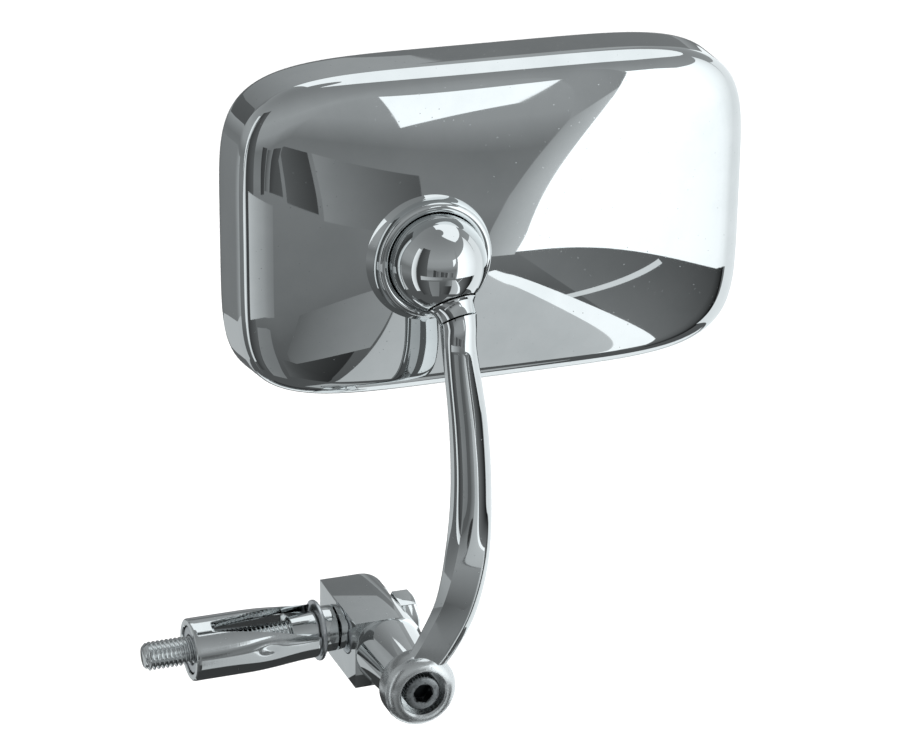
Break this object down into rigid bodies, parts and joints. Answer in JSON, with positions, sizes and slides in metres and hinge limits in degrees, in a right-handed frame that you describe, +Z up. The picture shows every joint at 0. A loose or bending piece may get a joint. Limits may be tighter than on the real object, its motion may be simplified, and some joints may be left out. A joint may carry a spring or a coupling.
{
  "type": "handlebar-end rearview mirror",
  "caption": "Chrome rearview mirror with a rounded oblong head on a ball joint, a curved arm, a pivoting knuckle and an expander plug for a handlebar end.",
  "frame": {"origin": "where the clamp bolt's axis meets the knuckle block's bar-side face", "axes": "+X along the clamp bolt towards its hex head, away from the handlebar; +Y towards the reflecting side of the glass; +Z up"},
  "size_m": [0.1645, 0.0639, 0.1783],
  "materials": {
    "mirror_housing": "polished chrome plate on pressed steel",
    "mirror_glass": "silvered glass",
    "glass_gasket": "satin black rubber",
    "glass_backing": "plain fibre card",
    "ball_socket": "polished chrome plate",
    "front_seat": "natural acetal",
    "rear_seat": "natural acetal",
    "spring_cup": "zinc plate",
    "seat_spring": "oiled spring steel",
    "spring_retainer": "zinc plate",
    "retainer_screw": "zinc plate",
    "ball_stud": "polished chrome plate",
    "mirror_arm": "polished chrome plate on a casting",
    "eye_screw": "bright zinc plate",
    "lock_washer": "zinc plate",
    "knuckle_block": "polished chrome plate on a casting",
    "expander_bolt": "bright zinc plate",
    "bolt_spring_washer": "zinc plate",
    "spacer_bush": "polished chrome plate",
    "flange_ring": "bright zinc plate",
    "spreader_cone": "bright zinc plate",
    "expander_nut": "zinc plate",
    "expander_sleeve": "bright plated steel"
  },
  "bodies": {
    "bar_plug": {"flange_ring": "flange_ring", "spacer_bush": "spacer_bush", "spreader_cone": "spreader_cone"},
    "plug_sleeve": {"expander_sleeve": "expander_sleeve", "expander_nut": "expander_nut"},
    "knuckle": {"knuckle_block": "knuckle_block"},
    "clamp_bolt": {"expander_bolt": "expander_bolt", "bolt_spring_washer": "bolt_spring_washer"},
    "arm": {"mirror_arm": "mirror_arm", "ball_stud": "ball_stud", "eye_screw": "eye_screw", "lock_washer": "lock_washer"},
    "seat_back": {"rear_seat": "rear_seat"},
    "seat_front": {"front_seat": "front_seat"},
    "head": {"mirror_housing": "mirror_housing", "mirror_glass": "mirror_glass", "glass_gasket": "glass_gasket", "glass_backing": "glass_backing", "ball_socket": "ball_socket", "spring_cup": "spring_cup", "seat_spring": "seat_spring", "spring_retainer": "spring_retainer", "retainer_screw_1": "retainer_screw", "retainer_screw_2": "retainer_screw", "retainer_screw_3": "retainer_screw"}
  },
  "joints": [
    {"name": "knuckle_swivel", "type": "hinge", "parent": "bar_plug", "child": "knuckle", "pos_m": [0, 0, 0], "axis": [1, 0, 0], "range_deg": [-180, 180]},
    {"name": "bolt_turn", "type": "hinge", "parent": "knuckle", "child": "clamp_bolt", "pos_m": [0, 0, 0], "axis": [-1, 0, 0], "range_deg": [-864, 0]},
    {"name": "sleeve_draw", "type": "slide", "parent": "bar_plug", "child": "plug_sleeve", "axis": [1, 0, 0], "range_m": [-0.003, 0]},
    {"name": "arm_pivot", "type": "hinge", "parent": "knuckle", "child": "arm", "pos_m": [0.0098, -0.0426, 0], "axis": [0, 1, 0], "range_deg": [-100, 100]},
    {"name": "head_turn", "type": "hinge", "parent": "arm", "child": "seat_back", "pos_m": [0.016, -0.038, 0.119], "axis": [0.1502, -0.5507, -0.8211], "range_deg": [-25, 25]},
    {"name": "head_tilt", "type": "hinge", "parent": "seat_back", "child": "seat_front", "pos_m": [0.016, -0.038, 0.119], "axis": [1, 0, 0], "range_deg": [-8, 8]},
    {"name": "head_roll", "type": "hinge", "parent": "seat_front", "child": "head", "pos_m": [0.016, -0.038, 0.119], "axis": [0, 1, 0], "range_deg": [-8, 8]}
  ],
  "couplings": [
    {"joint": "sleeve_draw", "follows": "bolt_turn", "m_per_rad": 0.00019894}
  ]
}
